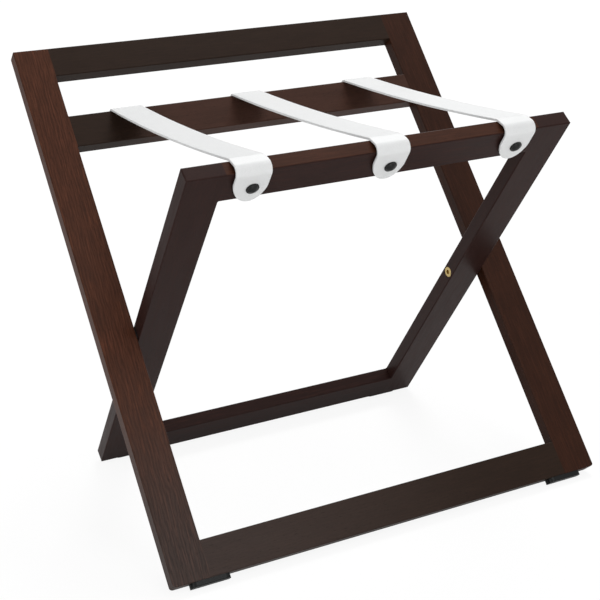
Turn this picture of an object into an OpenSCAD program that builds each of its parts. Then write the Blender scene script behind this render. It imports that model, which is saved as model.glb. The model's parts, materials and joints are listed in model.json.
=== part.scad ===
// Folding luggage rack: a tall outer frame with a backrest and a shorter inner frame cross on
// two hidden pivot bolts, and three straps stop them from opening further.
// The origin is on the floor under the middle of the rack. X runs across the rack, the front
// is towards -Y and Z points up.

/* [Rack] */
// Width across the outer frame
rack_w = 600; // [590:1:660]
// Lean of each frame from upright with the rack open
lean = 39; // [36:0.5:42]
// Thickness of all the wood
wood_t = 19; // [18:0.5:24]
// Radius of the eased arrises
arris_r = 1.5; // [0.5:0.25:2.5]
// Length of both frames below the pivot
leg_below = 308; // [290:1:330]
// Height of the strap rails' top edges along the frames, above the pivot
strap_rail_top = 307; // [290:1:325]
// Height of both strap rails
strap_rail_h = 45; // [42:1:50]
// Height of both bottom rails
bottom_rail_h = 45; // [42:1:50]

/* [Outer frame] */
// Width of the outer stiles
stile_w = 47; // [42:1:50]
// Length of the outer frame above the pivot
backrest_above = 410; // [400:1:440]
// Height of the backrest's top rail
top_rail_h = 42; // [38:1:48]
// Radius of the stiles' lower outer corners
heel_r = 5; // [2:0.5:8]

/* [Inner frame] */
// Width of the inner legs
leg_w = 47; // [42:1:50]
// Gap between an inner leg and the stile beside it
frame_gap = 1.5; // [1:0.1:3]

/* [Dowel joints] */
// Radius of the dowels
dowel_r = 4; // [3:0.5:5]
// Depth of a dowel in a stile or leg
dowel_in_upright = 20; // [15:1:25]
// Depth of a dowel in a rail
dowel_in_rail = 25; // [18:1:28]
// Distance of the first dowel from the rail's inner edge
dowel_edge = 11; // [9:0.5:12]
// Distance between the two dowels of a joint
dowel_pitch = 16; // [13:0.5:18]

/* [Pivots] */
// Radius of the pivot bolts' shanks
bolt_r = 4; // [3:0.5:5]
// Radius of the flush bolt heads
bolt_head_r = 7.25; // [6:0.25:8]
// Height of the bolt heads
bolt_head_h = 5; // [3:0.5:8]
// Hexagon socket in the bolt heads, across flats
socket_af = 6; // [4:0.5:7]
// Depth of the hexagon socket
socket_deep = 3.5; // [2:0.5:5]
// Reach of the bolt into its insert
bolt_reach = 20; // [14:1:24]
// Outer radius of the threaded inserts
insert_r = 6; // [5.5:0.25:7]
// Length of the threaded inserts
insert_len = 24; // [20:1:28]
// Outer radius of the spacing washers
washer_r = 8.5; // [7:0.25:9]

/* [Straps] */
// Width of a strap
strap_w = 43; // [38:0.5:50]
// Thickness of a strap
strap_t = 3; // [2:0.1:3.5]
// Distance from the outer straps' middles to the inner legs
strap_inset = 30.5; // [28:0.5:45]
// Sag of the left strap in the middle of its span
sag_left = 5; // [1:0.5:12]
// Sag of the centre strap in the middle of its span
sag_centre = 5; // [1:0.5:12]
// Sag of the right strap in the middle of its span
sag_right = 4; // [1:0.5:12]
// Radius of a strap's underside where it bends over the front rail
strap_bend_r = 7.5; // [6.5:0.5:9]
// Height of that bend's underside above the rail's top edge
strap_rise = 4.5; // [2:0.5:6]
// Distance of that bend and the tab below it from the rail's front face
strap_stand = 2.5; // [1.5:0.25:3]
// Length over which a tab narrows to its round tip
tab_taper = 35; // [28:1:37]
// Distance of a tab's tip below its button
tab_reach = 23; // [20:1:26]
// Distance of the front tabs' tips and buttons to the right of their straps' middles
tab_skew = 2.5; // [-4:0.5:4]

/* [Strap buttons] */
// Distance of the front buttons from their rail's top edge
button_drop = 22; // [19:0.5:24]
// Distance of the rear buttons from their rail's top edge
rear_button_drop = 18; // [15:0.5:19]
// Radius of a button's rim
button_r = 7.75; // [7:0.25:10]
// Height of the rim
button_rim_h = 1.8; // [1:0.1:2.5]
// Radius of the raised dome
dome_r = 6.25; // [5:0.25:6.75]
// Height of the dome above the rim
dome_rise = 3; // [1.4:0.1:3.5]
// Radius of the strap screws' shanks
screw_r = 1.75; // [1.5:0.25:2.5]
// Radius of the strap screws' heads
screw_head_r = 3.5; // [3:0.25:4]
// Height of the strap screws' heads
screw_head_h = 1.8; // [1.4:0.1:2]
// Depth of the strap screws in the wood
screw_deep = 13; // [10:0.5:14]
// Radius of the collars that hold the front tabs off the wood
collar_r = 5; // [4:0.25:6]

/* [Feet] */
// Length of a foot plate
foot_len = 50; // [44:1:56]
// Width of a foot plate
foot_w = 17; // [15:0.5:18]
// Thickness of a foot plate
foot_t = 6; // [4.5:0.5:8]
// Radius of a foot plate's rounded ends
foot_end_r = 7; // [3:0.5:7.5]
// Width of the flat on which a foot stands
foot_flat = 5; // [4:0.5:6]
// Distance between a foot's two pins
foot_pin_pitch = 30; // [26:1:34]
// Radius of the foot pins
foot_pin_r = 1.1; // [0.9:0.1:1.4]
// Radius of the foot pins' heads
foot_pin_head_r = 2.4; // [2:0.1:3]
// Height of the foot pins' heads
foot_pin_head_h = 1; // [0.8:0.1:1.5]
// Depth of the foot pins in the wood
foot_pin_deep = 9; // [7:0.5:10]

/* [Clearances] */
// Between pieces that turn against each other, and round the straps at the front
body_gap = 0.3; // [0.2:0.05:0.4]
// Between a fastener or strap and the wood that holds it
seat_gap = 0.05; // [0.03:0.01:0.1]
// Beyond the tip of a fastener in its hole
tip_gap = 0.5; // [0.3:0.1:1]

/* [Hidden] */
$fn = 48;
cut = 1;
arc_step = 7;
sag_steps = 16;
// What half a tab's width has beyond half the strap's width
tab_ease = 0.5;
// Depth of the cut that rounds a tab, and the points round its end
tab_cut_depth = 20;
tab_steps = 32;
// Share of the way to the rails over which a strap's sag is one arc
sag_share = 0.97;
// Chamfers of the dowels, inserts and bolts, and the play behind the foot pins' heads
dowel_chamfer = 1;
insert_chamfer = 0.5;
bolt_head_chamfer = 0.5;
bolt_tip_chamfer = 1;
foot_pin_sink = 1;
foot_toe_r = 1;

// Colours
wood_dark = [0.23, 0.16, 0.14];
dowel_pale = [0.78, 0.66, 0.48];
strap_white = [0.92, 0.92, 0.91];
plastic_black = [0.10, 0.10, 0.10];
brass = [0.78, 0.68, 0.42];
steel = [0.62, 0.63, 0.65];

// Places across the rack, on its right-hand side
stile_x = rack_w / 2 - stile_w;
leg_x = stile_x - frame_gap - leg_w;
strap_pitch = leg_x - strap_inset;

// Places along the frames, measured from the pivot
strap_rail_bottom = strap_rail_top - strap_rail_h;
bottom_rail_top = -leg_below + bottom_rail_h;
top_rail_bottom = backrest_above - top_rail_h;
button_z = strap_rail_top - button_drop;
rear_button_z = strap_rail_top - rear_button_drop;
tab_half_w = strap_w / 2 + tab_ease;
face_y = wood_t / 2;

// The pivot's place over the floor: the feet are cut level, so that each stands on a flat
foot_cut = foot_flat * sin(lean) * cos(lean);
pivot_z = (leg_below + foot_t) * cos(lean) + foot_w / 2 * sin(lean) - foot_cut;
foot_reach = (leg_below + foot_t - foot_toe_r) * sin(lean)
    + (foot_w / 2 - foot_toe_r) * cos(lean) + foot_toe_r;
bend_z = strap_rail_top + strap_rise - strap_bend_r;
bend_out = face_y + strap_stand - strap_bend_r;
bend_reach = bend_z * sin(lean) + bend_out * cos(lean) + strap_bend_r + strap_t;
front_reach = max(foot_reach, bend_reach);
back_reach = (backrest_above - arris_r) * sin(lean) + (face_y - arris_r) * cos(lean) + arris_r;
pivot_y = (front_reach - back_reach) / 2;

// Distance of a button's underside from the wood, in front and at the back
front_stack = strap_stand + strap_t + body_gap;
rear_stack = seat_gap + strap_t + seat_gap;

washer_t = frame_gap - body_gap;
bolt_len = leg_w + frame_gap + bolt_reach;

// Places in a frame's own plane: x across, y towards the back, z up along the frame.
module in_outer_frame() {
    translate([0, pivot_y, pivot_z]) rotate([-lean, 0, 0]) children();
}

module in_inner_frame() {
    translate([0, pivot_y, pivot_z]) rotate([lean, 0, 0]) children();
}

module on_the_left() {
    mirror([1, 0, 0]) children();
}

// Extrusions whose outline lies in the Y-Z plane and in the X-Z plane
module along_x(length) {
    rotate([90, 0, 90]) linear_extrude(length) children();
}

module along_y(length) {
    rotate([90, 0, 0]) linear_extrude(length, center = true) children();
}

// What easing takes off a square corner at the origin
module corner_waste(r) {
    difference() {
        translate([-cut, -cut]) square(r + cut);
        translate([r, r]) circle(r);
    }
}

// Rectangle with one radius for each corner, anticlockwise from the origin
module eased_rect(size, radii) {
    difference() {
        square(size);
        for (i = [0:3]) {
            if (radii[i] > 0) {
                right = i == 1 || i == 2;
                top = i > 1;
                translate([right ? size[0] : 0, top ? size[1] : 0])
                    mirror([right ? 1 : 0, 0]) mirror([0, top ? 1 : 0]) corner_waste(radii[i]);
            }
        }
    }
}

function all_four(r) = [r, r, r, r];

// Round piece with both ends chamfered
module chamfered_rod(r, length, chamfer) {
    rotate_extrude()
        polygon([[0, 0], [r - chamfer, 0], [r, chamfer], [r, length - chamfer],
            [r - chamfer, length], [0, length]]);
}

// Heights of a joint's two dowels; inward is 1 when the rail lies above its inner edge
function dowel_heights(edge_z, inward) =
    [edge_z + inward * dowel_edge, edge_z + inward * (dowel_edge + dowel_pitch)];

top_dowels = dowel_heights(top_rail_bottom, 1);
strap_rail_dowels = dowel_heights(strap_rail_bottom, 1);
bottom_dowels = dowel_heights(bottom_rail_top, -1);

module dowel_bores(joint_x, heights) {
    for (z = heights) {
        translate([joint_x - dowel_in_rail - tip_gap, 0, z]) rotate([0, 90, 0])
            cylinder(h = dowel_in_rail + dowel_in_upright + 2 * tip_gap, r = dowel_r + seat_gap);
    }
}

module dowels(joint_x, heights) {
    for (side = [-1, 1]) {
        for (z = heights) {
            translate([side * joint_x, 0, z]) rotate([0, side * 90, 0])
                translate([0, 0, -dowel_in_rail])
                    chamfered_rod(dowel_r, dowel_in_rail + dowel_in_upright, dowel_chamfer);
        }
    }
}

// A right-hand upright. Its inner arrises are eased only in the openings between the rails,
// so the rails butt against it flush.
module upright(inner_x, width, top_z, heel, openings) {
    length = leg_below + top_z;
    difference() {
        translate([inner_x, -face_y, -leg_below]) intersection() {
            linear_extrude(length) eased_rect([width, wood_t], [0, arris_r, arris_r, 0]);
            along_x(width) eased_rect([wood_t, length], all_four(arris_r));
            translate([0, face_y, 0]) along_y(wood_t)
                eased_rect([width, length], [0, heel, arris_r, 0]);
        }
        for (span = openings) {
            for (back = [0, 1]) {
                translate([inner_x, 0, span[0]]) mirror([0, back, 0]) translate([0, -face_y, 0])
                    linear_extrude(span[1] - span[0]) corner_waste(arris_r);
            }
        }
    }
}

// A rail centred between two uprights whose inner faces stand at x and -x
module rail(x, bottom_z, height, dowel_z) {
    difference() {
        translate([-x, -face_y, bottom_z]) along_x(2 * x)
            eased_rect([wood_t, height], all_four(arris_r));
        dowel_bores(x, dowel_z);
        on_the_left() dowel_bores(x, dowel_z);
    }
}

// Strap buttons and their screws, seen with the wood's face at z = 0 and the strap above it
module strap_button(stack) {
    dome_ball = (pow(dome_r, 2) + pow(dome_rise, 2)) / (2 * dome_rise);
    translate([0, 0, stack]) rotate_extrude() difference() {
        union() {
            eased_rect([button_r, button_rim_h], [0, 0, button_rim_h / 2, 0]);
            intersection() {
                translate([0, button_rim_h + dome_rise - dome_ball]) circle(dome_ball);
                square([dome_r, button_rim_h + dome_rise]);
            }
        }
        translate([-cut, -cut]) square([screw_head_r + seat_gap + cut, screw_head_h + seat_gap + cut]);
    }
}

module strap_screw(stack) {
    rotate_extrude() polygon([
        [0, -screw_deep], [screw_r, -screw_deep + 2 * screw_r], [screw_r, stack],
        [screw_head_r, stack], [screw_head_r, stack + screw_head_h], [0, stack + screw_head_h]]);
}

// The front screws' collar, on which a tab lies
module screw_collar() {
    translate([0, 0, seat_gap]) cylinder(h = strap_stand - body_gap - seat_gap, r = collar_r);
}

module pilot_hole() {
    translate([0, 0, -screw_deep - tip_gap])
        cylinder(h = screw_deep + tip_gap + cut, r = screw_r + seat_gap);
}

strap_places = [-strap_pitch, 0, strap_pitch];

// Places a screw, button or hole on the front face of the inner frame's strap rail
module on_front_face(x) {
    translate([x + tab_skew, -face_y, button_z]) rotate([90, 0, 0]) children();
}

// The same on the back face of the outer frame's strap rail
module on_back_face(x) {
    translate([x, face_y, rear_button_z]) rotate([-90, 0, 0]) children();
}

// Straps: a strap runs like a belt over round corners. A corner is [centre, radius, first
// angle, last angle] in the Y-Z plane, and a negative radius bends the other way.
function dir(a) = [cos(a), sin(a)];
function angle_of(p) = atan2(p[1], p[0]);
function outer_point(z, out) =
    [pivot_y + z * sin(lean) - out * cos(lean), pivot_z + z * cos(lean) + out * sin(lean)];
function inner_point(z, out) =
    [pivot_y - z * sin(lean) - out * cos(lean), pivot_z + z * cos(lean) - out * sin(lean)];

// Stations [place, angle of the upper side] along one corner
function stations(corner, steps) = [
    for (i = [0:steps])
        let (a = corner[2] + (corner[3] - corner[2]) * i / steps)
            [corner[0] + corner[1] * dir(a), a]];
function steps_for(corner) = max(1, ceil(abs(corner[3] - corner[2]) / arc_step));

// Angle of the upper side where a belt runs straight from corner c to corner d
function belt_angle(c, rc, d, rd) = angle_of(d - c) + acos((rc - rd) / norm(d - c));

front_face = 180 + lean;
rear_top = 90 - lean;
rear_back = -lean;
half_t = strap_t / 2;
front_lie = face_y + strap_stand + half_t;
rear_lie = face_y + seat_gap + half_t;

bend = inner_point(bend_z, bend_out);
bend_mid_r = strap_bend_r + half_t;
front_edge = inner_point(strap_rail_top - arris_r, arris_r - face_y);
front_edge_r = arris_r + body_gap + half_t;
rear_edge = outer_point(strap_rail_top - arris_r, face_y - arris_r);
rear_edge_r = arris_r + seat_gap + half_t;
back_edge = outer_point(strap_rail_top - arris_r, arris_r - face_y);

function strap_line(sag) =
    let (
        middle = (front_edge + rear_edge) / 2
            + [0, (front_edge_r + rear_edge_r) / 2 - 2 * sag],
        over_front = belt_angle(bend, bend_mid_r, front_edge, front_edge_r),
        to_middle = norm(middle - front_edge),
        from_middle = norm(middle - rear_edge),
        down = angle_of(middle - front_edge) + acos(front_edge_r / to_middle),
        up = angle_of(rear_edge - middle) + acos(-rear_edge_r / from_middle),
        tangent = sag_share * min(to_middle, from_middle),
        sag_r = tangent / tan((up - down) / 2),
        sag_hub = middle + sag_r / cos((up - down) / 2) * dir((up + down) / 2),
        before = [
            [bend, bend_mid_r, front_face, over_front],
            [front_edge, front_edge_r, over_front, down]],
        after = [
            [rear_edge, rear_edge_r, up, rear_top],
            [back_edge, rear_edge_r, rear_top, rear_back]])
    concat(
        [[inner_point(button_z - tab_reach - cut, front_lie), front_face]],
        [for (c = before) each stations(c, steps_for(c))],
        stations([sag_hub, -sag_r, down, up], sag_steps),
        [for (c = after) each stations(c, steps_for(c))],
        [[outer_point(rear_button_z - tab_reach - cut, -rear_lie), rear_back]]);

// What a tab's end leaves of the strap's width: it is half an ellipse, sheared so that its tip
// lies skew to the right of its middle and tab_reach below the origin.
module tab_corners(skew) {
    length = tab_taper + 2 * cut;
    along_y(tab_cut_depth) translate([0, tab_taper - tab_reach]) difference() {
        translate([-tab_half_w - cut, -length]) square([2 * (tab_half_w + cut), length]);
        polygon([for (i = [0:tab_steps])
            let (a = 180 * i / tab_steps)
                [tab_half_w * cos(a) + skew * sin(a), -tab_taper * sin(a)]]);
    }
}

module strap_hole() {
    translate([0, 0, -cut])
        cylinder(h = strap_stand + strap_t + 2 * cut, r = screw_r + body_gap);
}

module strap(x, sag) {
    line = strap_line(sag);
    upper = [for (s = line) s[0] + half_t * dir(s[1])];
    lower = [for (i = [len(line) - 1:-1:0]) line[i][0] - half_t * dir(line[i][1])];
    color(strap_white) difference() {
        translate([x - strap_w / 2, 0, 0]) along_x(strap_w) polygon(concat(upper, lower));
        in_inner_frame() translate([x, -face_y, button_z]) tab_corners(tab_skew);
        in_outer_frame() translate([x, face_y, rear_button_z]) tab_corners(0);
        in_inner_frame() on_front_face(x) strap_hole();
        in_outer_frame() on_back_face(x) strap_hole();
    }
}

module strap_left() {
    strap(strap_places[0], sag_left);
}

module strap_centre() {
    strap(strap_places[1], sag_centre);
}

module strap_right() {
    strap(strap_places[2], sag_right);
}

// Feet
foot_y = foot_w / 2;

module foot_pin_places() {
    for (side = [-1, 1]) {
        translate([side * foot_pin_pitch / 2, 0, -leg_below]) children();
    }
}

module foot_pin_bores() {
    foot_pin_places() translate([0, 0, -cut])
        cylinder(h = foot_pin_deep + tip_gap + cut, r = foot_pin_r + seat_gap);
}

// The toe is the lower edge at the frame's outer side; toe is -1 when that is in front
module foot_plate(toe) {
    difference() {
        intersection() {
            translate([-foot_len / 2, -foot_y, -leg_below - foot_t])
                linear_extrude(foot_t) eased_rect([foot_len, foot_w], all_four(foot_end_r));
            translate([-foot_len / 2, 0, -leg_below - foot_t]) mirror([0, toe > 0 ? 1 : 0, 0])
                translate([0, -foot_y, 0]) along_x(foot_len)
                    eased_rect([foot_w, foot_t], [foot_toe_r, 0, 0, 0]);
        }
        foot_pin_places() translate([0, 0, -foot_t - cut]) {
            cylinder(h = foot_t + 2 * cut, r = foot_pin_r + seat_gap);
            cylinder(h = foot_pin_head_h + foot_pin_sink + cut, r = foot_pin_head_r + seat_gap);
        }
    }
}

module foot_pins() {
    head_z = foot_pin_sink - foot_t;
    foot_pin_places() rotate_extrude() polygon([
        [0, head_z], [foot_pin_head_r, head_z],
        [foot_pin_head_r, head_z + foot_pin_head_h], [foot_pin_r, head_z + foot_pin_head_h],
        [foot_pin_r, foot_pin_deep - 2 * foot_pin_r], [0, foot_pin_deep]]);
}

module below_floor() {
    translate([-rack_w, -rack_w, -rack_w]) cube([2 * rack_w, 2 * rack_w, rack_w]);
}

module outer_foot(side) {
    color(plastic_black) difference() {
        in_outer_frame() translate([side * stile_x, 0, 0]) foot_plate(-1);
        below_floor();
    }
}

module inner_foot(side) {
    color(plastic_black) difference() {
        in_inner_frame() translate([side * leg_x, 0, 0]) foot_plate(1);
        below_floor();
    }
}

module outer_foot_left() {
    outer_foot(-1);
}

module outer_foot_right() {
    outer_foot(1);
}

module inner_foot_left() {
    inner_foot(-1);
}

module inner_foot_right() {
    inner_foot(1);
}

module outer_foot_pins() {
    color(steel) in_outer_frame()
        for (side = [-1, 1]) translate([side * stile_x, 0, 0]) foot_pins();
}

module inner_foot_pins() {
    color(steel) in_inner_frame()
        for (side = [-1, 1]) translate([side * leg_x, 0, 0]) foot_pins();
}

// Outer frame
module outer_stile() {
    difference() {
        upright(stile_x, stile_w, backrest_above, heel_r,
            [[bottom_rail_top, strap_rail_bottom], [strap_rail_top, top_rail_bottom]]);
        dowel_bores(stile_x, concat(bottom_dowels, strap_rail_dowels, top_dowels));
        translate([stile_x - cut, 0, 0]) rotate([0, 90, 0])
            cylinder(h = insert_len + tip_gap + cut, r = insert_r + seat_gap);
        translate([stile_x, 0, 0]) foot_pin_bores();
    }
}

module outer_stile_right() {
    color(wood_dark) in_outer_frame() outer_stile();
}

module outer_stile_left() {
    color(wood_dark) in_outer_frame() on_the_left() outer_stile();
}

module backrest_top_rail() {
    color(wood_dark) in_outer_frame() rail(stile_x, top_rail_bottom, top_rail_h, top_dowels);
}

module rear_strap_rail() {
    color(wood_dark) in_outer_frame() difference() {
        rail(stile_x, strap_rail_bottom, strap_rail_h, strap_rail_dowels);
        for (x = strap_places) on_back_face(x) pilot_hole();
    }
}

module outer_bottom_rail() {
    color(wood_dark) in_outer_frame() difference() {
        rail(stile_x, -leg_below, bottom_rail_h, bottom_dowels);
        for (side = [-1, 1]) translate([side * stile_x, 0, 0]) foot_pin_bores();
    }
}

module outer_frame_dowels() {
    color(dowel_pale) in_outer_frame()
        dowels(stile_x, concat(bottom_dowels, strap_rail_dowels, top_dowels));
}

module rear_strap_buttons() {
    color(plastic_black) in_outer_frame()
        for (x = strap_places) on_back_face(x) strap_button(rear_stack);
}

module rear_strap_screws() {
    color(steel) in_outer_frame()
        for (x = strap_places) on_back_face(x) strap_screw(rear_stack);
}

// Inner frame
module inner_leg() {
    difference() {
        upright(leg_x, leg_w, strap_rail_top, arris_r, [[bottom_rail_top, strap_rail_bottom]]);
        dowel_bores(leg_x, concat(bottom_dowels, strap_rail_dowels));
        translate([leg_x - cut, 0, 0]) rotate([0, 90, 0]) {
            cylinder(h = leg_w + 2 * cut, r = bolt_r + seat_gap);
            cylinder(h = bolt_head_h + body_gap + cut, r = bolt_head_r + body_gap);
        }
        translate([leg_x, 0, 0]) foot_pin_bores();
    }
}

module inner_leg_right() {
    color(wood_dark) in_inner_frame() inner_leg();
}

module inner_leg_left() {
    color(wood_dark) in_inner_frame() on_the_left() inner_leg();
}

module front_strap_rail() {
    color(wood_dark) in_inner_frame() difference() {
        rail(leg_x, strap_rail_bottom, strap_rail_h, strap_rail_dowels);
        for (x = strap_places) on_front_face(x) pilot_hole();
    }
}

module inner_bottom_rail() {
    color(wood_dark) in_inner_frame() difference() {
        rail(leg_x, -leg_below, bottom_rail_h, bottom_dowels);
        for (side = [-1, 1]) translate([side * leg_x, 0, 0]) foot_pin_bores();
    }
}

module inner_frame_dowels() {
    color(dowel_pale) in_inner_frame() dowels(leg_x, concat(bottom_dowels, strap_rail_dowels));
}

module front_strap_buttons() {
    color(plastic_black) in_inner_frame()
        for (x = strap_places) on_front_face(x) strap_button(front_stack);
}

module front_strap_screws() {
    color(steel) in_inner_frame()
        for (x = strap_places) on_front_face(x) {
            strap_screw(front_stack);
            screw_collar();
        }
}

// Pivots, along the line through both frames. The head lies flush in the leg's inner side,
// the leg turns on the shank and the shank's end is held by the insert in the stile.
module on_pivot(x) {
    translate([x, pivot_y, pivot_z]) rotate([0, 90, 0]) children();
}

module pivot_bolt() {
    on_pivot(leg_x) difference() {
        rotate_extrude() polygon([
            [0, 0], [bolt_head_r - bolt_head_chamfer, 0], [bolt_head_r, bolt_head_chamfer],
            [bolt_head_r, bolt_head_h], [bolt_r, bolt_head_h], [bolt_r, bolt_len - bolt_tip_chamfer],
            [bolt_r - bolt_tip_chamfer, bolt_len], [0, bolt_len]]);
        translate([0, 0, -cut]) rotate([0, 0, 30])
            cylinder(h = socket_deep + cut, r = socket_af / 2 / cos(30), $fn = 6);
    }
}

module pivot_insert() {
    on_pivot(stile_x) difference() {
        chamfered_rod(insert_r, insert_len, insert_chamfer);
        translate([0, 0, -cut]) cylinder(h = insert_len + 2 * cut, r = bolt_r + seat_gap);
    }
}

module pivot_washer() {
    on_pivot(stile_x - washer_t) difference() {
        cylinder(h = washer_t, r = washer_r);
        translate([0, 0, -cut]) cylinder(h = washer_t + 2 * cut, r = bolt_r + seat_gap);
    }
}

module pivot_bolt_right() {
    color(brass) pivot_bolt();
}

module pivot_bolt_left() {
    color(brass) on_the_left() pivot_bolt();
}

module pivot_insert_right() {
    color(brass) pivot_insert();
}

module pivot_insert_left() {
    color(brass) on_the_left() pivot_insert();
}

module pivot_washer_right() {
    color(plastic_black) pivot_washer();
}

module pivot_washer_left() {
    color(plastic_black) on_the_left() pivot_washer();
}

outer_stile_left();
outer_stile_right();
backrest_top_rail();
rear_strap_rail();
outer_bottom_rail();
outer_frame_dowels();
outer_foot_left();
outer_foot_right();
outer_foot_pins();
pivot_insert_left();
pivot_insert_right();
pivot_bolt_left();
pivot_bolt_right();
pivot_washer_left();
pivot_washer_right();
strap_left();
strap_centre();
strap_right();
rear_strap_buttons();
rear_strap_screws();
inner_leg_left();
inner_leg_right();
front_strap_rail();
inner_bottom_rail();
inner_frame_dowels();
inner_foot_left();
inner_foot_right();
inner_foot_pins();
front_strap_buttons();
front_strap_screws();
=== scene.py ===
import json
import math

import bmesh
import bpy
import numpy as np
from bpy.props import FloatProperty, FloatVectorProperty, PointerProperty
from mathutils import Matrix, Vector


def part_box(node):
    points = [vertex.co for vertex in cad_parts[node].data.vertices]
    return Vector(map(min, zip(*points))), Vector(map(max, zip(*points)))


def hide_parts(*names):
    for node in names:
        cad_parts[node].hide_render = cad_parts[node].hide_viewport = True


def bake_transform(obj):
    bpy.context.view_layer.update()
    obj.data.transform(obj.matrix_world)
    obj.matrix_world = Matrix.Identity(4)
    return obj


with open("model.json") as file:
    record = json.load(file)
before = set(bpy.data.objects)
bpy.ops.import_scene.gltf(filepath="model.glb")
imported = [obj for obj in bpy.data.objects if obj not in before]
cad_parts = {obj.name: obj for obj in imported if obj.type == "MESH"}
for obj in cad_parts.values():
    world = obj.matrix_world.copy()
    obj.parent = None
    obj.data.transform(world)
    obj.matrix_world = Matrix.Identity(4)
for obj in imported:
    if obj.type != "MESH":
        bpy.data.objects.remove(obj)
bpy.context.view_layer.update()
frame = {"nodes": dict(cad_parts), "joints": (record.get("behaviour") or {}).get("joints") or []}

bl_info = {
    "name": "Folding luggage rack",
    "version": (1, 0, 0),
    "blender": (4, 5, 0),
    "location": "3D View > Sidebar > Luggage Rack",
    "description": "Finishes a packed folding luggage rack: wood, straps, fittings and a stage",
    "category": "Object",
}

MM = 0.001

# The fold's axis in the side view, as (y, z) in metres, and how far it turns
FOLD = next(joint for joint in frame["joints"] if joint["name"] == "fold")
PIVOT = np.array(FOLD["pos_m"][1:])
FOLD_RANGE = math.radians(FOLD["range_deg"][1])

# The features of the wood as drawn: width across the grain and length along it, in millimetres
FIBRE = (1.9, 34)
DRIFT = (14, 60)
PORE = (0.55, 7)
WAVER = (9, 30)
RING_LENGTH = 600

# Phase that the waver adds to the rings, and the width of one band of a wave texture of scale 1
RING_WAVER = 16.0
WAVE_BAND = 0.63

# What the stain is multiplied by where it is darker and where it is brighter, and how much of
# the streak's own red goes into the brighter one
DARKER = 0.62
BRIGHTER = 1.9
REDDER = 0.25

# Between these values lies most of a noise field
NOISE_LOW = 0.3
NOISE_HIGH = 0.7

# A Mix node's first and second colour among its inputs, and the mixed one among its outputs
FIRST = 6
SECOND = 7
MIXED = 2

# Grain of the straps' leather: its pebbles, and the soft clouds in its white
PEBBLE = 0.9 * MM
CLOUD = 18 * MM


def linear(hex_colour):
    """An sRGB hex colour as three linear values: each over 12.92 up to 0.04045, and above it
    its sum with 0.055, over 1.055, to the power of 2.4."""
    values = [int(hex_colour[i:i + 2], 16) / 255 for i in (1, 3, 5)]
    return [v / 12.92 if v <= 0.04045 else ((v + 0.055) / 1.055) ** 2.4 for v in values]


def colour_property(name, description, hex_colour):
    """A colour that the user can change, from an sRGB hex value."""
    return FloatVectorProperty(
        name=name, description=description, default=linear(hex_colour),
        subtype="COLOR", size=3, min=0, max=1)


def length_property(name, description, millimetres, low, high):
    """A length that the user can change, given in millimetres and kept in metres."""
    return FloatProperty(
        name=name, description=description, default=millimetres * MM,
        min=low * MM, max=high * MM, unit="LENGTH", precision=4)


class RackWood(bpy.types.PropertyGroup):
    """The wood's stain and grain."""
    lean: FloatProperty(
        name="Lean", description="Lean of each frame from upright with the rack open",
        default=math.radians(39), min=math.radians(30), max=math.radians(50), subtype="ANGLE")
    stain: colour_property("Stain", "Colour of the outer frame's rails", "#291D16")
    warm: colour_property("Warm stain", "Colour where a board took less of the stain", "#47291C")
    # Painted sheen: a greyer colour towards the outer frame's foot stands in for the lacquer's
    # reflection there
    painted_sheen: colour_property("Painted sheen", "Greyer colour at the outer frame's foot", "#3E332F")
    brown: colour_property("Brown stain", "Colour of most of the rear rail", "#422C24")
    cool: colour_property("Cool stain", "Colour of the inner frame", "#2D1C19")
    streak: colour_property("Streak", "Reddish streaks where the stain wiped off", "#643625")
    pore: colour_property("Pore", "Colour of the stain left in the pores", "#140D0B")
    ring_spacing: length_property("Ring spacing", "Width of one growth ring", 4.2, 0.5, 20)


class RackStraps(bpy.types.PropertyGroup):
    """The straps' sizes, as in the part's source. The centre one's sag and the rounding of the
    edges are set after the photograph."""
    thickness: length_property("Thickness", "Thickness of a strap", 3, 1, 5)
    edge_radius: length_property("Edge radius", "Rounding of the cut edges", 0.8, 0.1, 1.45)
    sag_left: length_property("Sag left", "Sag of the left strap in mid-span", 5, 0, 20)
    sag_centre: length_property("Sag centre", "Sag of the centre strap in mid-span", 4, 0, 20)
    sag_right: length_property("Sag right", "Sag of the right strap in mid-span", 4, 0, 20)
    leather: colour_property("Leather", "Colour of the coated face", "#E6E7E7")


class RackFittings(bpy.types.PropertyGroup):
    """Colours of the fastenings and feet."""
    brass: colour_property("Brass", "Colour of the brass pivot bolts", "#CFB67A")
    zinc: colour_property("Zinc", "Colour of the zinc plating on screws and pins", "#B4B6BA")
    nylon: colour_property("Nylon", "Colour of the buttons", "#151515")
    foot: colour_property("Feet", "Colour of the foot plates and washers", "#0C0D0D")
    beech: colour_property("Beech", "Colour of the raw dowels", "#C8A878")


class RackStage(bpy.types.PropertyGroup):
    """Camera, lamps and floor."""
    camera_place: FloatVectorProperty(
        name="Camera place", description="Where the camera stands",
        default=(-0.7608, -1.5015, 0.8017), size=3, subtype="TRANSLATION", unit="LENGTH")
    camera_turn: FloatVectorProperty(
        name="Camera turn", description="How the camera is turned",
        default=[math.radians(a) for a in (72.729, 2.281, -27.365)], size=3, subtype="EULER")
    lens: FloatProperty(
        name="Lens", description="Focal length in millimetres on a 36 mm wide sensor",
        default=80.23, unit="CAMERA")
    rise: FloatProperty(
        name="Shift", description="Vertical shift of the lens, in widths of the sensor",
        default=-0.05)
    ambient: FloatProperty(
        name="Ambient", description="Strength of the studio's own light on the object",
        default=0.32, min=0, max=1, subtype="FACTOR")
    backdrop: colour_property("Backdrop", "Colour of the floor and the background", "#FFFFFF")


def add_node(tree, kind, inputs=None, **settings):
    """Adds one node with its settings. An input is a number, a colour or another node's
    output."""
    node = tree.nodes.new(kind)
    for name, value in settings.items():
        setattr(node, name, value)
    for name, value in (inputs or {}).items():
        if isinstance(value, bpy.types.NodeSocket):
            tree.links.new(value, node.inputs[name])
        else:
            node.inputs[name].default_value = value
    return node


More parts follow.
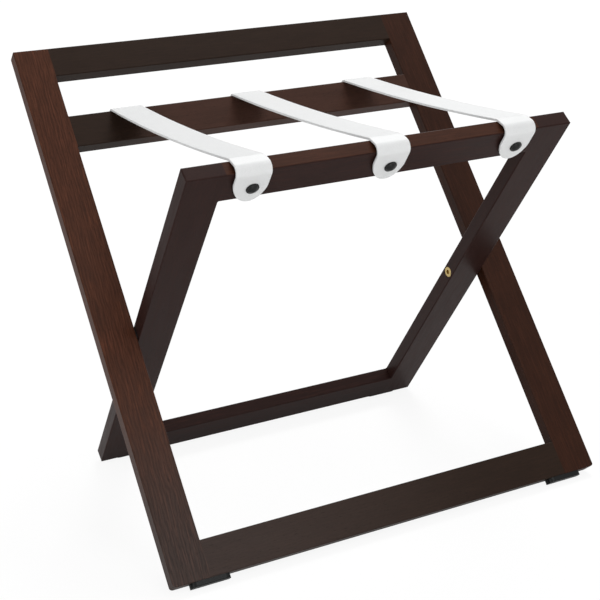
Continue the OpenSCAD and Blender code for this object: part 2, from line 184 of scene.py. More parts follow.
def new_material(name, **values):
    """A material with a Principled surface, whose sockets take the given values."""
    material = bpy.data.materials.new(name)
    material.use_nodes = True
    surface = material.node_tree.nodes["Principled BSDF"]
    for socket, value in values.items():
        surface.inputs[socket.replace("_", " ")].default_value = value
    return material, material.node_tree, surface


def opaque(colour):
    """A colour with full alpha, as the sockets take it."""
    return (*colour, 1.0)


def dress(names, material):
    """Gives CAD nodes their material in place of the plain one."""
    for name in names:
        node = frame["nodes"][name]
        node.data.materials.clear()
        node.data.materials.append(material)


def stained_wood(name, wood, turn, colour, far_colour, change, rings, streaks, blotches,
                 upward_tint=None):
    """Dark stained beech: planed, stained with a cloth and sprayed with a thin satin lacquer,
    which gives a low even sheen, so the specular level is small.
    The grain is solid: it runs along the local Z that turn makes, so the ends show end grain.
    Fibres and pores are drawn coarser than real ones, so that they show in the picture, and
    the growth rings at a real spacing. Along the board the colour turns to far_colour between
    the two places of change, in metres. rings, streaks and blotches say how much of each shows.
    The faces that look up along the inner frame take a warmer colour, the last argument, where
    one is given."""
    material, tree, surface = new_material(name, Specular_IOR_Level=0.07)
    coordinates = add_node(tree, "ShaderNodeTexCoord").outputs
    along = add_node(
        tree, "ShaderNodeMapping",
        {"Vector": coordinates["Object"], "Rotation": turn}).outputs[0]

    def stretched(across, length):
        # The place, counted in widths across the grain and lengths along it
        scaled = add_node(
            tree, "ShaderNodeVectorMath",
            {0: along, 1: (1 / (across * MM), 1 / (across * MM), 1 / (length * MM))},
            operation="MULTIPLY")
        return scaled.outputs[0]

    def grain(across, length, detail, roughness):
        # A noise drawn out along the board
        field = add_node(
            tree, "ShaderNodeTexNoise",
            {"Vector": stretched(across, length), "Scale": 1.0, "Detail": detail,
             "Roughness": roughness})
        return field.outputs["Fac"]

    def lay(under, over, field, low, high, most):
        # Covers one colour with another: from not at all where the field is low, smoothly, to
        # most where it is high. It returns the colour and the share covered.
        share = add_node(
            tree, "ShaderNodeMapRange",
            {"Value": field, "From Min": low, "From Max": high, "To Max": most},
            interpolation_type="SMOOTHSTEP").outputs[0]
        covered = add_node(
            tree, "ShaderNodeMix", {"Factor": share, FIRST: under, SECOND: over},
            data_type="RGBA")
        return covered.outputs[MIXED], share

    # The rings waver as they run along the board
    waver = add_node(
        tree, "ShaderNodeMath", {0: grain(*WAVER, 2.0, 0.5), 1: RING_WAVER},
        operation="MULTIPLY")
    ring_wave = add_node(
        tree, "ShaderNodeTexWave",
        {"Vector": stretched(wood.ring_spacing / MM / WAVE_BAND, RING_LENGTH), "Scale": 1.0,
         "Phase Offset": waver.outputs[0]},
        wave_type="BANDS", bands_direction="DIAGONAL", wave_profile="SIN")
    fibres = grain(*FIBRE, 3.0, 0.6)
    drift = grain(*DRIFT, 2.0, 0.5)
    pores = grain(*PORE, 2.0, 0.5)

    length = add_node(tree, "ShaderNodeSeparateXYZ", {"Vector": along}).outputs["Z"]
    base, _ = lay(opaque(colour), opaque(far_colour), length, *change, 1.0)
    if upward_tint:
        up_frame = (0, -math.sin(wood.lean), math.cos(wood.lean))
        facing_up = add_node(
            tree, "ShaderNodeVectorMath", {0: coordinates["Normal"], 1: up_frame},
            operation="DOT_PRODUCT").outputs["Value"]
        base, _ = lay(base, opaque(upward_tint), facing_up, 0.8, 0.95, 1.0)

    # The stain is darker in a ring's late wood and in a blotch, and brighter on a streak
    dark, bright = (
        add_node(tree, "ShaderNodeVectorMath", {0: base, "Scale": scale}, operation="SCALE")
        .outputs[0] for scale in (DARKER, BRIGHTER))
    streak = add_node(
        tree, "ShaderNodeMix",
        {"Factor": REDDER, FIRST: bright, SECOND: opaque(wood.streak)},
        data_type="RGBA").outputs[MIXED]
    tone, _ = lay(base, dark, drift, 0.35, 0.7, blotches)
    ringed, _ = lay(tone, dark, ring_wave.outputs["Fac"], 0.1, 0.9, rings)
    streaked, _ = lay(ringed, streak, fibres, 0.46, 0.72, streaks)
    pored, pore_share = lay(streaked, opaque(wood.pore), pores, 0.6, 0.7, 0.5)
    tree.links.new(pored, surface.inputs["Base Color"])
    gloss = add_node(
        tree, "ShaderNodeMapRange",
        {"Value": fibres, "From Min": NOISE_LOW, "From Max": NOISE_HIGH, "To Min": 0.34,
         "To Max": 0.46})
    tree.links.new(gloss.outputs[0], surface.inputs["Roughness"])
    # The lacquer sinks over the pores
    height = add_node(
        tree, "ShaderNodeMath", {0: pore_share, 1: -0.6, 2: fibres}, operation="MULTIPLY_ADD")
    bump = add_node(
        tree, "ShaderNodeBump",
        {"Height": height.outputs[0], "Strength": 0.25, "Distance": 0.05 * MM})
    tree.links.new(bump.outputs[0], surface.inputs["Normal"])
    return material


# How far the left stile's grain runs out of its length, and how far the right stile's growth
# rings are turned about it, in radians
RUN_OUT = -0.045
RING_TURN = 0.4

# Places of change for a board of one colour, where the far colour is the same
PLAIN = (0, 1)


class RACK_OT_wood(bpy.types.Operator):
    """Stain the frames' uprights and rails, with the grain along each piece"""
    bl_idname = "rack.wood"
    bl_label = "Stain the wood"

    def execute(self, context):
        wood = context.scene.rack_wood
        # Turns that lay the local Z along each board
        inner_upright = (-wood.lean, 0, 0)
        across = math.radians(-90)
        sideways = (wood.lean, across, 0)
        inner_sideways = (-wood.lean, across, 0)
        left_stile = (wood.lean, RUN_OUT, 0)
        right_stile = (wood.lean, 0, RING_TURN)
        # Shades for the right stile, the inner bottom rail and the faces of the front rail that
        # look up.
        # The inner bottom rail's darker shade is painted shade, for the shaded floor that its
        # lower face mirrors.
        deep = [0.5 * c for c in wood.warm]
        low = [0.8 * c for c in wood.cool]
        upward_tint = [0.75 * c for c in wood.warm]
        # Pieces, name, turn, colour, far colour and where it changes, and share of rings,
        # streaks and blotches
        boards = (
            # The left stile turns greyer towards its foot: painted sheen
            (["outer_stile_left"], "left stile", left_stile,
             wood.painted_sheen, wood.warm, (-0.15, 0.12), 0.7, 0.6, 0.3),
            (["outer_stile_right"], "right stile", right_stile,
             deep, deep, PLAIN, 0.15, 0.25, 0.5),
            (["backrest_top_rail"], "top rail", sideways,
             wood.stain, wood.stain, PLAIN, 0.12, 0.08, 0.25),
            (["rear_strap_rail"], "rear rail", sideways,
             wood.stain, wood.brown, (-0.2, -0.1), 0.12, 0.08, 0.4),
            # The bottom rail turns greyer towards its left end, near the outer frame's foot:
            # painted sheen
            (["outer_bottom_rail"], "bottom rail", sideways,
             wood.painted_sheen, wood.stain, (-0.32, 0.25), 0.12, 0.08, 0.25),
            (["inner_leg_left", "inner_leg_right"], "inner legs", inner_upright,
             wood.cool, wood.cool, PLAIN, 0.12, 0.12, 0.3),
            # Its darker colour is painted shade
            (["inner_bottom_rail"], "inner bottom rail", inner_sideways,
             low, low, PLAIN, 0.12, 0.25, 0.3),
            (["front_strap_rail"], "front rail", inner_sideways,
             wood.cool, wood.cool, PLAIN, 0.12, 0.25, 0.3, upward_tint),
        )
        for pieces, name, turn, *look in boards:
            dress(pieces, stained_wood(f"stained beech, {name}", wood, turn, *look))
        return {"FINISHED"}


def raw_beech(fittings):
    """Turned beech dowel, raw: pale and matt, with short dark rays along it."""
    material, tree, surface = new_material("turned raw beech", Roughness=0.7)
    place = add_node(tree, "ShaderNodeTexCoord").outputs["Object"]
    # Rays to the metre: each is about 7 mm long and 0.4 mm wide
    rays_along = 150
    rays_across = 2500
    rays = add_node(
        tree, "ShaderNodeMapping",
        {"Vector": place, "Scale": (rays_along, rays_across, rays_across)})
    noise = add_node(
        tree, "ShaderNodeTexNoise", {"Vector": rays.outputs[0], "Scale": 1.0, "Detail": 3.0})
    ray = [c * 0.55 for c in fittings.beech]
    tint = add_node(
        tree, "ShaderNodeMix",
        {"Factor": noise.outputs["Fac"], FIRST: opaque(fittings.beech), SECOND: opaque(ray)},
        data_type="RGBA")
    tree.links.new(tint.outputs[MIXED], surface.inputs["Base Color"])
    return material


class RACK_OT_dowels(bpy.types.Operator):
    """Give the hidden dowels their raw beech"""
    bl_idname = "rack.dowels"
    bl_label = "Dowels"

    def execute(self, context):
        dress(["outer_frame_dowels", "inner_frame_dowels"],
              raw_beech(context.scene.rack_fittings))
        return {"FINISHED"}


def speckled(name, colour, grain_mm, depth_mm, shade, roughness, **values):
    """A base colour broken up by a fine noise of the given grain, which also drives the gloss
    and the bump. shade is the share of the colour left in the noise's peaks, and roughness
    gives its lowest and highest value."""
    material, tree, surface = new_material(name, **values)
    place = add_node(tree, "ShaderNodeTexCoord").outputs["Object"]
    noise = add_node(
        tree, "ShaderNodeTexNoise",
        {"Vector": place, "Scale": 1 / (grain_mm * MM), "Detail": 3.0, "Roughness": 0.6})
    shaded = [c * shade for c in colour]
    tint = add_node(
        tree, "ShaderNodeMix",
        {"Factor": noise.outputs["Fac"], FIRST: opaque(colour), SECOND: opaque(shaded)},
        data_type="RGBA")
    tree.links.new(tint.outputs[MIXED], surface.inputs["Base Color"])
    gloss = add_node(
        tree, "ShaderNodeMapRange",
        {"Value": noise.outputs["Fac"], "From Min": NOISE_LOW, "From Max": NOISE_HIGH,
         "To Min": roughness[0], "To Max": roughness[1]})
    tree.links.new(gloss.outputs[0], surface.inputs["Roughness"])
    bump = add_node(
        tree, "ShaderNodeBump",
        {"Height": noise.outputs["Fac"], "Strength": 0.5, "Distance": depth_mm * MM})
    tree.links.new(bump.outputs[0], surface.inputs["Normal"])
    return material


class RACK_OT_pivots(bpy.types.Operator):
    """Brass for the pivot bolts and inserts, nylon for the washers between the frames"""
    bl_idname = "rack.pivots"
    bl_label = "Pivots"

    def execute(self, context):
        fittings = context.scene.rack_fittings
        # Turned and tumbled brass: a soft shine with slight tarnish
        brass = speckled("turned brass", fittings.brass, 2.5, 0.01, 0.72, (0.22, 0.38),
                         Metallic=1)
        dress(["pivot_bolt_left", "pivot_bolt_right", "pivot_insert_left",
               "pivot_insert_right"], brass)
        # Nylon, punched from a sheet: plain matt black
        washer = speckled("punched black nylon", fittings.foot, 0.8, 0.02, 0.7, (0.45, 0.6),
                          Specular_IOR_Level=0.3)
        dress(["pivot_washer_left", "pivot_washer_right"], washer)
        return {"FINISHED"}


class RACK_OT_feet(bpy.types.Operator):
    """Moulded black foot plates and their zinc plated pins"""
    bl_idname = "rack.feet"
    bl_label = "Feet"

    def execute(self, context):
        fittings = context.scene.rack_fittings
        # Polyethylene, moulded in an eroded steel mould: black with a fine satin texture
        plate = speckled("moulded black foot plate", fittings.foot, 0.7, 0.05, 0.6, (0.3, 0.45),
                         Specular_IOR_Level=0.17)
        dress(["outer_foot_left", "outer_foot_right", "inner_foot_left", "inner_foot_right"],
              plate)
        # Zinc plating from a barrel: grey, with an even dull shine
        zinc = speckled("zinc plated steel", fittings.zinc, 1.2, 0.01, 0.8, (0.3, 0.45),
                        Metallic=1)
        dress(["outer_foot_pins", "inner_foot_pins", "rear_strap_screws",
               "front_strap_screws"], zinc)
        return {"FINISHED"}


class RACK_OT_buttons(bpy.types.Operator):
    """Satin black caps over the strap screws"""
    bl_idname = "rack.buttons"
    bl_label = "Strap buttons"

    def execute(self, context):
        # Moulded nylon cap: satin, with a slight grain that softens its highlight
        cap = speckled("moulded black cap", context.scene.rack_fittings.nylon, 0.6, 0.02, 0.8,
                       (0.3, 0.42), Specular_IOR_Level=0.25)
        dress(["rear_strap_buttons", "front_strap_buttons"], cap)
        return {"FINISHED"}


def coated_leather(straps):
    """White artificial leather: a polyurethane coat on a woven base, embossed with a fine
    pebble grain, which gives a soft satin sheen. The creases between the pebbles are darker:
    painted shade."""
    material, tree, surface = new_material(
        "embossed white artificial leather", Roughness=0.5, Specular_IOR_Level=0.4,
        Sheen_Weight=0.05)
    place = add_node(tree, "ShaderNodeTexCoord").outputs["Object"]
    pebbles = add_node(
        tree, "ShaderNodeTexVoronoi", {"Vector": place, "Scale": 1 / PEBBLE},
        feature="SMOOTH_F1")
    clouds = add_node(
        tree, "ShaderNodeTexNoise", {"Vector": place, "Scale": 1 / CLOUD, "Detail": 4.0})
    cloudy = [c * 0.95 for c in straps.leather]
    # Painted shade for the creases between the pebbles
    crease_shade = [c * 0.6 for c in straps.leather]
    tint = add_node(
        tree, "ShaderNodeMix",
        {"Factor": clouds.outputs["Fac"], FIRST: opaque(straps.leather),
         SECOND: opaque(cloudy)},
        data_type="RGBA")
    # Share of the painted shade, growing into the creases
    crease = add_node(
        tree, "ShaderNodeMapRange",
        {"Value": pebbles.outputs["Distance"], "From Min": 0.3, "From Max": 0.75,
         "To Max": 0.1})
    shaded = add_node(
        tree, "ShaderNodeMix",
        {"Factor": crease.outputs[0], FIRST: tint.outputs[MIXED], SECOND: opaque(crease_shade)},
        data_type="RGBA")
    tree.links.new(shaded.outputs[MIXED], surface.inputs["Base Color"])
    bump = add_node(
        tree, "ShaderNodeBump",
        {"Height": pebbles.outputs["Distance"], "Strength": 0.35, "Distance": 0.08 * MM},
        invert=True)
    tree.links.new(bump.outputs[0], surface.inputs["Normal"])
    return material


# Radius of the loop that the slack makes when folded, how far up from its lowest place the
# loop has closed, and a layer's distance above that from the middle between the frames
LOOP_R = 6 * MM
LOOP_HEIGHT = 20 * MM
LAYER_OFF = 2.1 * MM

# Stretches of a strap, each with its own share of the bend worked out, and how near their ends'
# points lie to each other to be merged
STRETCHES = 20
MERGE = 1e-6

# Starts and ends of bends that lie wholly behind or before the rack, given to the stretches at
# the strap's two ends.
BEHIND_RACK = ((0, 1, 0), (0, 2, 0))
BEFORE_RACK = ((0, -2, 0), (0, -1, 0))

# Sizes of the strap's path that the part's source also uses, in metres
WOOD_T = 19 * MM
ARRIS_R = 1.5 * MM
RAIL_TOP = 307 * MM
BEND_R = 7.5 * MM
BEND_RISE = 4.5 * MM
BEND_STAND = 2.5 * MM
BUTTON_DROP = 22 * MM
REAR_BUTTON_DROP = 18 * MM
TAB_TAPER = 35 * MM
TAB_REACH = 23 * MM
TAB_SKEW = 2.5 * MM
TAB_EASE = 0.5 * MM
FRONT_GAP = 0.3 * MM
REAR_GAP = 0.05 * MM

# Share of its shorter tangent that the sag's arc takes up, as in the part's source
SAG_SHARE = 0.97

# Stations on each run of the path: a tab's round end and its straight rise, the front bend,
# the front rail's arris, the sag, and the rear rail's two arrises
TAB_STATIONS = 30
RISE_STATIONS = 4
BEND_STATIONS = 40
FRONT_STATIONS = 8
SAG_STATIONS = 150
REAR_STATIONS = 14
BACK_STATIONS = 20

# Which run of the path sags between the rails
SAG_RUN = 4

# How far the points across a strap lie from its edge, closer where the edge is round
FROM_EDGE = np.array([0, 0.04, 0.14, 0.3, 0.55, 0.9, 1.6, 3, 6, 10, 15]) * MM


def heading(angles):
    """Unit vectors in the side view at these angles: the cosine and the sine of each."""
    return np.stack([np.cos(angles), np.sin(angles)], axis=-1)


def frame_point(lean, z, out):
    """A place in the side view, z along a frame from the pivot and out from its middle plane
    towards the front: the pivot plus z times the frame's direction plus out times its front
    normal. lean is positive for the outer frame and negative for the inner one."""
    return PIVOT + z * np.array([math.sin(lean), math.cos(lean)]) \
        + out * np.array([-math.cos(lean), math.sin(lean)])


def arc(centre, radius, first, last, count):
    """Places on a round corner, centre plus radius times the heading, and the angle of each."""
    angles = np.linspace(first, last, count)
    return centre + radius * heading(angles), angles


def belt_angle(corner, radius, next_corner, next_radius):
    """Angle of a belt's upper side where it runs straight from one corner to the next: the angle
    of the line between them plus the arc cosine of the radii's difference over its length."""
    span = next_corner - corner
    length = np.linalg.norm(span)
    return math.atan2(span[1], span[0]) + math.acos((radius - next_radius) / length)


def strap_path(straps, lean, sag):
    """The strap's middle line in the side view, from the front tab's tip to the rear one's.
    It returns the places, the angle of the upper side at each, how far each lies past the
    start of its tab's round end, and which of them sag freely between the rails. The line is
    straight on both tabs, stands off the front rail, runs round the rails' arrises like a belt
    and sags in one long arc between them."""
    half = straps.thickness / 2
    face = WOOD_T / 2
    front_tip = RAIL_TOP - BUTTON_DROP - TAB_REACH
    rear_tip = RAIL_TOP - REAR_BUTTON_DROP - TAB_REACH
    front_face = math.pi + lean
    rear_top = math.pi / 2 - lean
    rear_back = -lean
    front_lie = face + BEND_STAND + half
    rear_lie = face + REAR_GAP + half

    bend_top = RAIL_TOP + BEND_RISE - BEND_R
    bend = frame_point(-lean, bend_top, face + BEND_STAND - BEND_R)
    front_edge = frame_point(-lean, RAIL_TOP - ARRIS_R, ARRIS_R - face)
    front_edge_r = ARRIS_R + FRONT_GAP + half
    rear_edge = frame_point(lean, RAIL_TOP - ARRIS_R, face - ARRIS_R)
    rear_edge_r = ARRIS_R + REAR_GAP + half
    back_edge = frame_point(lean, RAIL_TOP - ARRIS_R, ARRIS_R - face)

    # The sag's tangents meet in mid-span, twice as far down as the sag
    middle = (front_edge + rear_edge) / 2 \
        + np.array([0, (front_edge_r + rear_edge_r) / 2 - 2 * sag])
    to_middle = middle - front_edge
    from_middle = rear_edge - middle
    reach_in = np.linalg.norm(to_middle)
    reach_out = np.linalg.norm(from_middle)
    down = math.atan2(to_middle[1], to_middle[0]) + math.acos(front_edge_r / reach_in)
    up = math.atan2(from_middle[1], from_middle[0]) + math.acos(-rear_edge_r / reach_out)
    over_front = belt_angle(bend, BEND_R + half, front_edge, front_edge_r)
    sag_turn = (up - down) / 2
    sag_r = SAG_SHARE * min(reach_in, reach_out) / math.tan(sag_turn)
    sag_middle = middle + sag_r / math.cos(sag_turn) * heading(np.array((up + down) / 2))

    # How far the stations of a tab's end lie past its start: equal steps of the ellipse's angle
    past = TAB_TAPER * np.cos(np.linspace(0, math.pi / 2, TAB_STATIONS))
    front_start = front_tip + TAB_TAPER
    rear_start = rear_tip + TAB_TAPER
    front_tab = np.array([frame_point(-lean, front_start - p, front_lie) for p in past])
    rear_tab = np.array([frame_point(lean, rear_start - p, -rear_lie) for p in past[::-1]])
    rise = np.linspace(0, 1, RISE_STATIONS + 2)[1:-1, None]
    front_low = frame_point(-lean, front_start, front_lie)
    front_high = frame_point(-lean, bend_top, front_lie)
    rear_high = frame_point(lean, RAIL_TOP - ARRIS_R, -rear_lie)
    rear_low = frame_point(lean, rear_start, -rear_lie)
    runs = [
        (front_tab, np.full(TAB_STATIONS, front_face)),
        (front_low + rise * (front_high - front_low), np.full(RISE_STATIONS, front_face)),
        arc(bend, BEND_R + half, front_face, over_front, BEND_STATIONS),
        arc(front_edge, front_edge_r, over_front, down, FRONT_STATIONS),
        arc(sag_middle, -sag_r, down, up, SAG_STATIONS),
        arc(rear_edge, rear_edge_r, up, rear_top, REAR_STATIONS),
        arc(back_edge, rear_edge_r, rear_top, rear_back, BACK_STATIONS),
        (rear_high + rise * (rear_low - rear_high), np.full(RISE_STATIONS, rear_back)),
        (rear_tab, np.full(TAB_STATIONS, rear_back)),
    ]
    places = np.concatenate([run[0] for run in runs])
    angles = np.concatenate([run[1] for run in runs])
    beyond = np.zeros(len(places))
    beyond[:TAB_STATIONS] = past
    beyond[-TAB_STATIONS:] = past[::-1]
    first_free = sum(len(run[1]) for run in runs[:SAG_RUN])
    free = np.arange(first_free, first_free + SAG_STATIONS)
    return places, angles, beyond, free


def strap_grid(straps, x_middle, half_width, path):
    """The strap's skin as a grid of stations by points round its cross-section.
    A tab's end is half an ellipse: its half width is the strap's, with a little ease, times the
    root of 1 minus the square of the share of the taper's length gone. The front tab's middle
    leans to the right by its skew times that share. Across, a point lies at a fixed share of
    the way from the middle to the edge. Its height over the middle line depends on its
    distance from the outline: half the thickness inside, and a quarter circle of the edge
    radius at the cut edge. The underside mirrors the upper side."""
    places, angles, beyond, _ = path
    half = straps.thickness / 2
    tab_half = half_width + TAB_EASE
    share = 1 - np.append(FROM_EDGE, half_width) / half_width
    share = np.concatenate([-share[:-1], share[::-1]])
    gone = np.minimum(beyond / TAB_TAPER, 1)[:, None]
    tab_middle = np.where(np.arange(len(gone)) < TAB_STATIONS, TAB_SKEW, 0)[:, None] * gone
    tab_reach = tab_half * np.sqrt(1 - gone ** 2)
    right = np.minimum(half_width, tab_middle + tab_reach)
    left = np.maximum(-half_width, tab_middle - tab_reach)
    x = (right + left) / 2 + (right - left) / 2 * share[None, :]

    # Distance from the ellipse: what its level lacks of 1, over the level's slope. The slope
    # is 0 only at the tab's start, where no point is near the end.
    off = x - tab_middle
    level = np.sqrt((off / tab_half) ** 2 + gone ** 2)
    slope = np.sqrt((off / tab_half ** 2) ** 2 + (gone / TAB_TAPER) ** 2)
    to_end = np.where(gone > 0, (1 - level) * level / np.maximum(slope, 1e-9), half_width)
    to_outline = np.minimum(half_width - np.abs(x), to_end)
    depth = np.clip(to_outline / straps.edge_radius, 0, 1)
    height = half - straps.edge_radius * (1 - np.sqrt(1 - (1 - depth) ** 2))
    normal = heading(angles)

    def skin(offset):
        # The stations' places, moved by the offset along the upper side's normal
        side = places[:, None, :] + offset[:, :, None] * normal[:, None, :]
        return np.concatenate([x[:, :, None] + x_middle, side], axis=2)

    upper = skin(height)
    under = skin(-height)[:, ::-1]
    return np.concatenate([upper, under], axis=1)


def grid_mesh(name, grid):
    """A mesh over a grid of stations by points round a closed section. A tab's last station
    has no width, so its end closes by itself once its points are merged."""
    stations, around = grid.shape[:2]
    index = np.arange(stations * around).reshape(stations, around)
    here, after = index[:-1], index[1:]
    quads = np.stack(
        [here, after, np.roll(after, -1, axis=1), np.roll(here, -1, axis=1)], axis=-1)
    mesh = bpy.data.meshes.new(name)
    mesh.from_pydata(grid.reshape(-1, 3).tolist(), [], quads.reshape(-1, 4).tolist())
    mesh.update()
    return mesh


def link_object(name, mesh):
    """A new object of this mesh, at the origin."""
    piece = bpy.data.objects.new(name, mesh)
    bpy.context.scene.collection.objects.link(piece)
    return piece


def bend_line(y_first, y_last, w_first, w_last):
    """Start and end of a smooth bend whose share is w_first at y_first and w_last at y_last.
    The bend's share of its way t is t squared times (3 minus 2t), and its inverse is a half
    minus the sine of a third of the arc sine of (1 minus twice the share)."""
    t_first, t_last = (0.5 - math.sin(math.asin(1 - 2 * w) / 3) for w in (w_first, w_last))
    length = (y_last - y_first) / (t_last - t_first)
    start = y_first - t_first * length
    return (0, start, 0), (0, start + length, 0)


def fold_share(y, z):
    """How far points between the rails follow the outer frame when the rack folds. A point at
    the angle a from upright, seen from the pivot, ends at a plus what its share leaves of the
    turn. With a share of a half plus a over the turn all points meet half-way between the
    frames, and both sides of the slack then part by a layer's width beside the rails and by a
    round loop below them."""
    angle = np.arctan2(y - PIVOT[0], z - PIVOT[1])
    distance = np.hypot(y - PIVOT[0], z - PIVOT[1])
    height = distance - distance.min()
    loop = LOOP_R * np.sqrt(1 - (1 - np.minimum(height / LOOP_R, 1)) ** 2)
    closing = np.clip((height - LOOP_R) / (LOOP_HEIGHT - LOOP_R), 0, 1)
    closing = closing ** 2 * (3 - 2 * closing)
    apart = loop + closing * (LAYER_OFF - loop)
    return np.clip(0.5 + (angle - np.sign(angle) * apart / distance) / FOLD_RANGE, 0, 1)


def make_strap(name, node, straps, lean, sag, material):
    """One strap, built in stretches along its path and joined into one piece. For each stretch
    the start and end of a bend about the pivot are worked out, with its own share."""
    low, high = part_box(node)
    half_width = (high.x - low.x) / 2
    path = strap_path(straps, lean, sag)
    grid = strap_grid(straps, (low.x + high.x) / 2, half_width, path)
    y, z = path[0][:, 0], path[0][:, 1]

    # The stretches are shortest at the rails, where the bend starts from nothing
    free = path[3]
    share = fold_share(y[free], z[free])
    begin = max(np.count_nonzero(share <= 0) - 1, 0)
    end = min(len(share) - np.count_nonzero(share >= 1), len(share) - 1)
    steps = 0.5 - 0.5 * np.cos(np.linspace(0, math.pi, STRETCHES + 1))
    cuts = np.unique(np.round(begin + steps * (end - begin)).astype(int))
    shares = share[cuts]
    shares[0], shares[-1] = 0, 1
    cuts = cuts + free[0]

    stretches = [(0, cuts[0], *BEHIND_RACK)]
    for first, last, w_first, w_last in zip(cuts[:-1], cuts[1:], shares[:-1], shares[1:]):
        stretches.append((first, last, *bend_line(y[first], y[last], w_first, w_last)))
    stretches.append((cuts[-1], len(y) - 1, *BEFORE_RACK))

    pieces = []
    for first, last, start, end in stretches:
        part = link_object(name, grid_mesh(name, grid[first:last + 1]))
        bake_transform(part)
        pieces.append(part)
    strap = pieces[0]
    with bpy.context.temp_override(
            active_object=strap, object=strap, selected_objects=pieces,
            selected_editable_objects=pieces):
        bpy.ops.object.join()
    skin = bmesh.new()
    skin.from_mesh(strap.data)
    bmesh.ops.remove_doubles(skin, verts=skin.verts, dist=MERGE)
    bmesh.ops.recalc_face_normals(skin, faces=skin.faces)
    skin.to_mesh(strap.data)
    skin.free()
    strap.name = name
    strap.data.name = name
    strap.data.shade_smooth()
    strap.data.materials.append(material)
    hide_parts(node)
    return strap


class RACK_OT_straps(bpy.types.Operator):
    """Make the three straps"""
    bl_idname = "rack.straps"
    bl_label = "Straps"

    def execute(self, context):
        straps = context.scene.rack_straps
        lean = context.scene.rack_wood.lean
        leather = coated_leather(straps)
        for side, sag in (("left", straps.sag_left), ("centre", straps.sag_centre),
                          ("right", straps.sag_right)):
            make_strap(f"{side}_strap", f"strap_{side}", straps, lean, sag, leather)
        return {"FINISHED"}


# Name, place, size and radiance of each soft box, and the place in the rack that all face
LAMPS = (
    ("key soft box", (0.45, -1.9, 2.4), 1.1, 4.6),
    ("top soft box", (0.9, 0.9, 2.5), 1.2, 8.2),
    ("front soft box", (-0.3, -2.8, 0.55), 1.0, 5.2),
    ("left soft box", (-2.6, -0.4, 1.2), 1.8, 1.9),
)
LAMP_TARGET = (0, 0, 0.3)


def add_lamp(name, place, size, radiance):
    """A square soft box of this size at place, facing the rack. Its power is pi times the
    radiance times its area."""
    lamp = bpy.data.lights.new(name, "AREA")
    lamp.shape = "SQUARE"
    lamp.size = size
    lamp.energy = radiance * math.pi * size ** 2
    box = bpy.data.objects.new(name, lamp)
    box.location = place
    towards = Vector(LAMP_TARGET) - Vector(place)
    box.rotation_euler = towards.to_track_quat("-Z", "Y").to_euler()
    bpy.context.scene.collection.objects.link(box)


def seen_directly(tree):
    """1 for rays that come from the camera, a reflection or glass, and 0 for the others."""
    rays = add_node(tree, "ShaderNodeLightPath")
    both = add_node(
        tree, "ShaderNodeMath",
        {0: rays.outputs["Is Camera Ray"], 1: rays.outputs["Is Glossy Ray"]}, operation="ADD")
    seen = add_node(
        tree, "ShaderNodeMath",
        {0: both.outputs[0], 1: rays.outputs["Is Transmission Ray"]},
        operation="ADD", use_clamp=True)
    return seen.outputs[0]


# The floor's paint reflects this share of white, and its glow is a little over plain white
FLOOR_PAINT = 0.93
FLOOR_GLOW = 1.04

# The glow's share of what the camera sees near the object, and the distances from the middle
# between which it grows to the whole
NEAR_SHARE = 0.86
NEAR = 0.5
FAR = 2.0

# Share of the glow that reflections lose, so that the wood's sheen stays low
LESS_MIRRORED = 0.7


def studio_floor(stage):
    """Painted studio floor, matt. Around the object its glow is only a part of what the camera
    sees, so it keeps the shadow, and further out it takes over until all is plain white."""
    material = bpy.data.materials.new("painted studio floor")
    material.use_nodes = True
    tree = material.node_tree
    tree.nodes.clear()
    paint = add_node(
        tree, "ShaderNodeBsdfDiffuse",
        {"Color": opaque([FLOOR_PAINT * c for c in stage.backdrop])})
    glow = add_node(
        tree, "ShaderNodeEmission", {"Color": opaque(stage.backdrop), "Strength": FLOOR_GLOW})
    place = add_node(tree, "ShaderNodeTexCoord").outputs["Object"]
    reach = add_node(tree, "ShaderNodeVectorMath", {0: place}, operation="LENGTH")
    share = add_node(
        tree, "ShaderNodeMapRange",
        {"Value": reach.outputs["Value"], "From Min": NEAR, "From Max": FAR,
         "To Min": NEAR_SHARE},
        interpolation_type="SMOOTHSTEP")
    seen = add_node(
        tree, "ShaderNodeMath", {0: seen_directly(tree), 1: share.outputs[0]},
        operation="MULTIPLY")
    glossy = add_node(tree, "ShaderNodeLightPath").outputs["Is Glossy Ray"]
    mirrored = add_node(
        tree, "ShaderNodeMath", {0: glossy, 1: -LESS_MIRRORED, 2: 1.0},
        operation="MULTIPLY_ADD")
    glowing = add_node(
        tree, "ShaderNodeMath", {0: seen.outputs[0], 1: mirrored.outputs[0]},
        operation="MULTIPLY")
    mixed = add_node(
        tree, "ShaderNodeMixShader",
        {0: glowing.outputs[0], 1: paint.outputs[0], 2: glow.outputs[0]})
    add_node(tree, "ShaderNodeOutputMaterial", {"Surface": mixed.outputs[0]})
    return material


# The floor reaches this far each way. It lies a hair below the feet, so the two don't touch.
FLOOR_REACH = 12
FLOOR_DROP = 0.3 * MM

# The camera's sensor in millimetres, and how far it sees in metres
SENSOR_WIDTH = 36
CLIP_END = 100


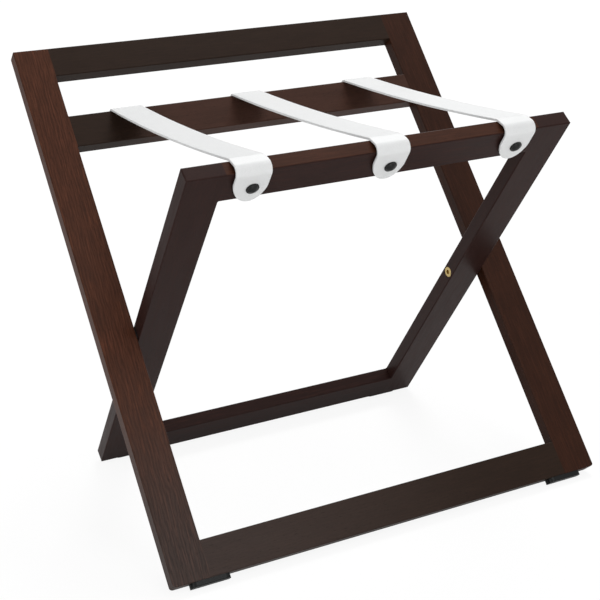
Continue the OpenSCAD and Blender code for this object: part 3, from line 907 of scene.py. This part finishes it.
class RACK_OT_stage(bpy.types.Operator):
    """Set up the camera, the lamps, the floor and the background"""
    bl_idname = "rack.stage"
    bl_label = "Stage"

    def execute(self, context):
        stage = context.scene.rack_stage
        lens = bpy.data.cameras.new("camera")
        lens.lens = stage.lens
        lens.sensor_width = SENSOR_WIDTH
        lens.shift_y = stage.rise
        lens.clip_end = CLIP_END
        camera = bpy.data.objects.new("camera", lens)
        camera.location = stage.camera_place
        camera.rotation_euler = stage.camera_turn
        context.scene.collection.objects.link(camera)
        context.scene.camera = camera

        sides = (-FLOOR_REACH, FLOOR_REACH)
        corners = [(x, y, -FLOOR_DROP) for y in sides for x in sides]
        mesh = bpy.data.meshes.new("studio_floor")
        mesh.from_pydata(corners, [], [(0, 1, 3, 2)])
        mesh.materials.append(studio_floor(stage))
        link_object("studio_floor", mesh)

        world = bpy.data.worlds.new("white studio")
        context.scene.world = world
        world.use_nodes = True
        tree = world.node_tree
        tree.nodes.clear()
        strength = add_node(
            tree, "ShaderNodeMapRange",
            {"Value": seen_directly(tree), "To Min": stage.ambient})
        glow = add_node(
            tree, "ShaderNodeBackground",
            {"Color": opaque(stage.backdrop), "Strength": strength.outputs[0]})
        add_node(tree, "ShaderNodeOutputWorld", {"Surface": glow.outputs[0]})

        for lamp in LAMPS:
            add_lamp(*lamp)
        context.scene.view_settings.view_transform = "Standard"
        return {"FINISHED"}


class RACK_PT_panel(bpy.types.Panel):
    """Steps and settings of the luggage rack"""
    bl_idname = "RACK_PT_panel"
    bl_label = "Luggage Rack"
    bl_space_type = "VIEW_3D"
    bl_region_type = "UI"
    bl_category = "Luggage Rack"

    def draw(self, context):
        for step in STEPS:
            self.layout.operator(step.bl_idname)
        for group in GROUPS:
            box = self.layout.box()
            settings = getattr(context.scene, group)
            for name in settings.__annotations__:
                box.prop(settings, name)


GROUPS = {
    "rack_wood": RackWood,
    "rack_straps": RackStraps,
    "rack_fittings": RackFittings,
    "rack_stage": RackStage,
}
STEPS = (RACK_OT_wood, RACK_OT_dowels, RACK_OT_pivots, RACK_OT_feet, RACK_OT_buttons,
         RACK_OT_straps, RACK_OT_stage)


def register():
    for kind in (*GROUPS.values(), *STEPS, RACK_PT_panel):
        bpy.utils.register_class(kind)
    for name, kind in GROUPS.items():
        setattr(bpy.types.Scene, name, PointerProperty(type=kind))


def unregister():
    for name in GROUPS:
        delattr(bpy.types.Scene, name)
    for kind in (RACK_PT_panel, *reversed(STEPS), *reversed(list(GROUPS.values()))):
        bpy.utils.unregister_class(kind)


def main():
    register()
    bpy.ops.rack.wood()
    bpy.ops.rack.dowels()
    bpy.ops.rack.pivots()
    bpy.ops.rack.feet()
    bpy.ops.rack.buttons()
    bpy.ops.rack.straps()
    bpy.ops.rack.stage()


if __name__ == "__main__":
    main()
